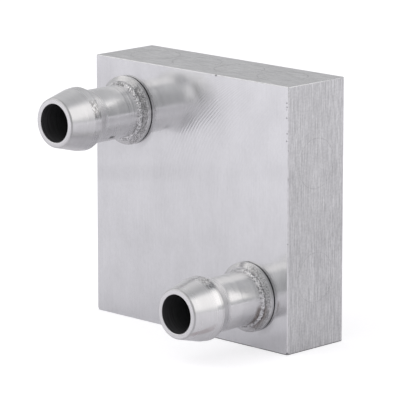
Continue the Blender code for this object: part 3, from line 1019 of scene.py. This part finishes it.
print("outline of", len(outline), "stations,", len(inlet_nozzle.data.polygons), "faces")

# %% Copy for the outlet
select_alone(inlet_nozzle)
bpy.ops.object.duplicate_move(TRANSFORM_OT_translate={"value": OUTLET - INLET})
outlet_nozzle = bpy.context.object
outlet_nozzle.name = "outlet_hose_nozzle"
settle(outlet_nozzle)

# %% [markdown]
# ## Wear, painted highlights and painted shade on the nozzles
#
# The collar's face is pitted and crusted where the flux boiled, mostly at the right. A painted highlight
# brightens the nozzles along their upper right side, and painted shade darkens their undersides. The lathe
# chattered in a small patch on each barb, the inlet has a short gouge underneath, and the outlet a brown heat
# stain beside its bead.
# Such marks sit at known angles round the nozzle and known distances from the block. A point on the nozzle is
# therefore given by its angle from the right-hand side towards the top, its distance from the block's face
# and its radius.

# %% Marks on a nozzle
MARK_KINDS = ("dulled", "polish", "matt", "crust", "chatter", "smear", "stain", "dirt")
FULL_TURN = 360.0


def nozzle_place(centre, point):
    """A point's angle from the right towards the top in degrees, its distance from the face, its radius."""
    offset = (point - centre) / MM
    return math.degrees(math.atan2(offset.z, offset.x)), -offset.y, math.hypot(offset.x, offset.z)


def fade(value, low, high, soft):
    """1 between low and high, falling to 0 over the soft length on both sides."""
    inside = min(value - low, high - value)
    return max(0.0, min(1.0, inside / soft + 1.0))


def patch(angles, soft_angle, distances, soft, **effects):
    """A mark between two angles in degrees and two distances in mm, with soft borders and its effects."""
    return {"angles": angles, "soft_angle": soft_angle, "distances": distances, "soft": soft, **effects}


def ring(distances, soft, **effects):
    """A mark that runs all round the nozzle."""
    return patch((-180, 180), 1, distances, soft, **effects)


def mark_strength(mark, angle, distance):
    """How strong a mark is at this angle and distance, from 0 to 1."""
    low_angle, high_angle = mark["angles"]
    low, high = mark["distances"]
    middle = (low_angle + high_angle) / 2 + mark.get("lean", 0.0) * (distance - (low + high) / 2)
    turned_by = math.remainder(angle - middle, FULL_TURN)
    half = (high_angle - low_angle) / 2
    return fade(turned_by, -half, half, mark["soft_angle"]) * fade(distance, low, high, mark["soft"])


def mark_grain(mark, point):
    """Noise from 0 to 1 that breaks up a mark, or 1 where the mark is even."""
    if "grain" not in mark:
        return 1.0
    size = mark["grain"]
    spot = Vector((point.x / size, point.y / size, point.z / size)) / MM
    grain = noise.noise(spot + Vector((mark["seed"], mark["seed"], mark["seed"])))
    low_grain, high_grain = mark["between"]
    return max(0.0, min(1.0, (grain - low_grain) / (high_grain - low_grain)))


def mark_nozzle(nozzle, centre, marks):
    """Presses marks into the nozzle's outer side and paints what they leave."""
    mesh = nozzle.data
    painted = {kind: [0.0] * len(mesh.vertices) for kind in MARK_KINDS}
    for index, vert in enumerate(mesh.vertices):
        angle, distance, radius = nozzle_place(centre, vert.co)
        if radius < OUTER_SIDE or distance < COLLAR_GAP - TINY:
            continue
        outward = Vector((vert.co.x - centre.x, 0.0, vert.co.z - centre.z)).normalized()
        sink = 0.0
        for mark in marks:
            strength = mark_strength(mark, angle, distance)
            if strength <= 0.0:
                continue
            strength *= mark_grain(mark, vert.co)
            sink += strength * mark.get("depth", 0.0)
            for kind in MARK_KINDS:
                if kind in mark:
                    painted[kind][index] = max(painted[kind][index], strength * mark[kind])
        vert.co -= outward * sink * MM
    for kind in MARK_KINDS:
        attribute = mesh.attributes.new(kind, "FLOAT", "POINT")
        attribute.data.foreach_set("value", painted[kind])


# %% Pits, gouges and stains
# Some marks paint light: a raised tone on the upper right side is a painted highlight, where the lit cloth is
# mirrored.
MARKS_ON_BOTH = (
    patch((-90, 60), 25, (0.1, 0.75), 0.10, dulled=0.42),
    patch((12, 44), 9, (1.3, 3.0), 1.0, polish=1.0),
    ring((8.3, 9.9), 0.3, matt=0.16),
    patch((-25, 40), 15, (15.02, 15.16), 0.04, dulled=0.7),
    ring((15.0, 15.22), 0.03, dulled=0.45),
)
# The dulling on the undersides, at the lip and on the land is painted shade; on the collar it is heat scale.
INLET_MARKS = (
    patch((14, 50), 6, (0.62, 1.25), 0.1, grain=0.40, between=(0.0, 0.30), depth=0.12, dirt=0.40, seed=3.0),
    patch((-70, 50), 20, (0.72, 1.25), 0.10, crust=0.85, dulled=0.60),
    patch((-35, 20), 12, (0.82, 1.25), 0.10, dulled=0.85),
    ring((0.1, 1.25), 0.1, crust=0.16, dulled=0.42),
    patch((10, 85), 15, (3.50, 3.60), 0.08, depth=0.02, dulled=0.4),
    patch((5, 85), 15, (3.00, 3.10), 0.08, depth=0.02, dulled=0.4),
    patch((5, 80), 15, (2.40, 2.50), 0.08, depth=0.02, dulled=0.4),
    ring((1.2, 3.4), 0.03, depth=0.012, dulled=0.04),
    ring((11.4, 15.0), 0.05, matt=0.20),
    patch((-130, -22), 22, (1.2, 16.0), 0.5, dulled=0.30),
    patch((12, 42), 5, (10.15, 11.25), 0.25, chatter=1.0),
    patch((18, 46), 9, (8.6, 9.9), 0.4, polish=1.0),
    patch((52, 100), 8, (8.4, 9.9), 0.4, dulled=0.22),
    patch((-15, 12), 6, (8.4, 9.9), 0.4, dulled=0.16),
    patch((18, 46), 9, (1.3, 8.0), 0.3, polish=0.4),
    patch((14, 42), 9, (11.4, 15.0), 0.3, polish=0.6),
    patch((-53, -48), 3, (5.4, 6.2), 0.25, depth=0.25, dirt=1.0),
)
OUTLET_MARKS = (
    patch((-60, 70), 20, (0.72, 1.25), 0.10, crust=0.8, dulled=0.55),
    patch((-30, 15), 12, (0.85, 1.25), 0.10, dulled=0.75),
    ring((0.1, 1.25), 0.1, crust=0.18, dulled=0.28),
    ring((1.2, 5.3), 0.03, depth=0.012, dulled=0.05),
    patch((-80, -35), 20, (1.2, 3.6), 1.4, dulled=0.32),
    ring((9.75, 10.45), 0.12, dulled=0.22),
    patch((28, 54), 9, (1.3, 9.6), 0.3, polish=0.6),
    patch((-130, -42), 18, (1.2, 10.0), 0.5, dulled=0.20),
    patch((14, 42), 9, (10.6, 15.0), 0.3, polish=0.85),
    patch((52, 78), 5, (10.0, 11.4), 0.25, chatter=1.0),
    ring((11.4, 15.0), 0.05, matt=0.18),
    patch((-60, -14), 12, (1.4, 2.1), 0.6, stain=0.62),
    patch((-38, -30), 5, (11.8, 14.8), 0.5, lean=-6.0, grain=1.4, between=(-0.9, 0.2), smear=0.34, seed=2.0),
)
for nozzle, centre, marks, node in (
    (inlet_nozzle, INLET, INLET_MARKS, "inlet_nozzle"),
    (outlet_nozzle, OUTLET, OUTLET_MARKS, "outlet_nozzle"),
):
    mark_nozzle(nozzle, centre, MARKS_ON_BOTH + marks)
    nozzle.data.materials.append(turned.material)
    nozzle.data.materials.append(bore_shade.material)
    for face in nozzle.data.polygons:
        radius = nozzle_place(centre, face.center)[2]
        face.material_index = 1 if radius < BORE_RADIUS + TINY else 0
    smooth(nozzle)
    give_to_body(nozzle, "turned_aluminium", node)

# %% [markdown]
# ## The braze crust
#
# The filler ran round the tube and froze as a lumpy, shiny bead in the corner of the collar, with pits where
# the flux boiled out. A torus is the right start. Its vertices are then moved by several sizes of noise:
# broad swells, lumps and fine wrinkles. The fine specks are in the material. A smooth ring with a bump
# texture alone would lose the bead's broken silhouette.

# %% Braze finish
BRAZE_METAL = (0.82, 0.816, 0.824)
SPECK_HEIGHT = 0.045
SHINY_SPECK_HEIGHT = 0.05
SHINE_POLISH = 0.16
braze = Finish("braze_crust", BRAZE_METAL, 0.34)
braze_grain = braze.grain((0.24, 0.24, 0.24), 3.0)
braze_patch = braze.grain((1.3, 1.3, 1.3), 2.0, (4.0, 2.0, 8.0))
speckle = braze.remap(braze_grain, 0.34, 0.60, 0.46, 1.08)
braze.tone(braze.times(speckle, braze.remap(braze_patch, 0.3, 0.7, 0.82, 1.12)))
shine = braze.painted("shine")
plain_roughness = braze.remap(braze_patch, 0.3, 0.7, 0.40, 0.28)
braze.rough(braze.minus(plain_roughness, braze.times(shine, SHINE_POLISH)))
braze.relief(braze.times(braze_grain, braze.plus(SPECK_HEIGHT, braze.times(shine, SHINY_SPECK_HEIGHT))))

# %% Braze rings
BEAD_THICK = 0.44
BEAD_SUNK = 0.06
BEAD_LEAN_MEAN = 0.90
BEAD_LEAN = 0.22
BEAD_FULL_AT = -20.0
BEAD_THINNEST = 0.25
BEAD_CREASE = math.radians(60.0)
SHINE_ANGLES = (12.0, 70.0)
SHINE_SOFT = 12.0
BEAD_ROUND = 320
BEAD_ACROSS = 24
# Each swell of the bead: how fine it is and how strong.
BEAD_SWELLS = ((0.8, 0.22), (2.4, 0.20), (5.0, 0.20), (8.5, 0.18))


def lay_bead(name, node, centre, seed, fullness):
    """Lays the filler in the corner between a nozzle's tube and its collar."""
    ring_radius = TUBE_RADIUS + BEAD_SUNK
    height = COLLAR_FRONT + BEAD_SUNK
    bpy.ops.object.select_all(action="DESELECT")
    bpy.ops.mesh.primitive_torus_add(
        major_radius=ring_radius * MM,
        minor_radius=BEAD_THICK * MM,
        major_segments=BEAD_ROUND,
        minor_segments=BEAD_ACROSS,
        location=centre + FORWARD * height * MM,
        rotation=(math.pi / 2, 0.0, 0.0),
    )
    bead = bpy.context.object
    bead.name = name
    settle(bead)
    shine = [0.0] * len(bead.data.vertices)
    for index, vert in enumerate(bead.data.vertices):
        angle = nozzle_place(centre, vert.co)[0]
        shine[index] = fade(angle, *SHINE_ANGLES, SHINE_SOFT)
        offset = (vert.co - centre) / MM
        round_part = Vector((offset.x, 0.0, offset.z)).normalized()
        core = round_part * ring_radius + FORWARD * height
        away = (offset - core).normalized()
        spot = offset + Vector((seed, seed, seed))
        swell = 1.0 + sum(strength * noise.noise(spot * fineness) for fineness, strength in BEAD_SWELLS)
        swell *= fullness * (BEAD_LEAN_MEAN + BEAD_LEAN * math.cos(math.radians(angle - BEAD_FULL_AT)))
        vert.co = centre + (core + away * BEAD_THICK * max(BEAD_THINNEST, swell)) * MM
    bead.data.attributes.new("shine", "FLOAT", "POINT").data.foreach_set("value", shine)
    bead.data.materials.append(braze.material)
    smooth(bead, BEAD_CREASE)
    give_to_body(bead, "braze_filler", node)


lay_bead("inlet_braze_crust", "inlet_braze_ring", INLET, 4.0, 0.94)
lay_bead("outlet_braze_crust", "outlet_braze_ring", OUTLET, 9.0, 0.74)
